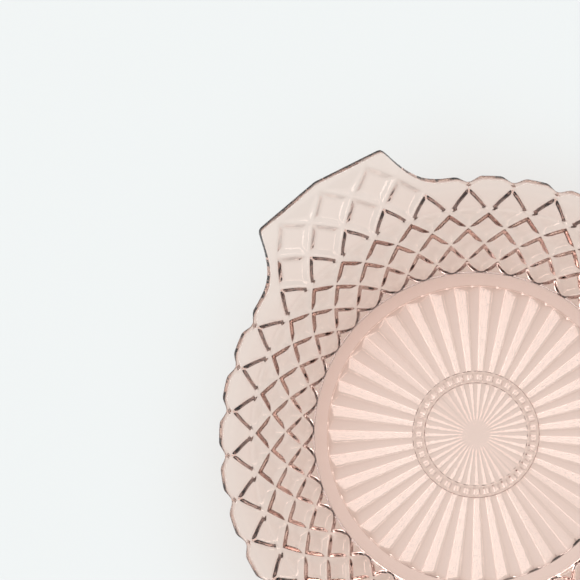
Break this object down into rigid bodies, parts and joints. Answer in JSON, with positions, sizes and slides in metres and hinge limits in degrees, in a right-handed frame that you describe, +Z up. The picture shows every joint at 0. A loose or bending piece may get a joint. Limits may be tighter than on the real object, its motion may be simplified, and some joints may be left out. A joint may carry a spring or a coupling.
{
  "type": "two-handled glass candy dish",
  "caption": "Round pressed-glass dish with a scalloped rim, tab handles on opposite sides, diamond relief under the wall and a sunburst base in a foot ring.",
  "frame": {"origin": "centre of the foot ring, on the plane that the dish stands on", "axes": "+Z up; the handles lie along +X and -X, so the length over the handles is along X"},
  "size_m": [0.2368, 0.203, 0.0418],
  "materials": {
    "pink_glass": "clear pale pink pressed glass, fire-polished"
  },
  "bodies": {
    "root": {"dish": "pink_glass"}
  },
  "joints": []
}
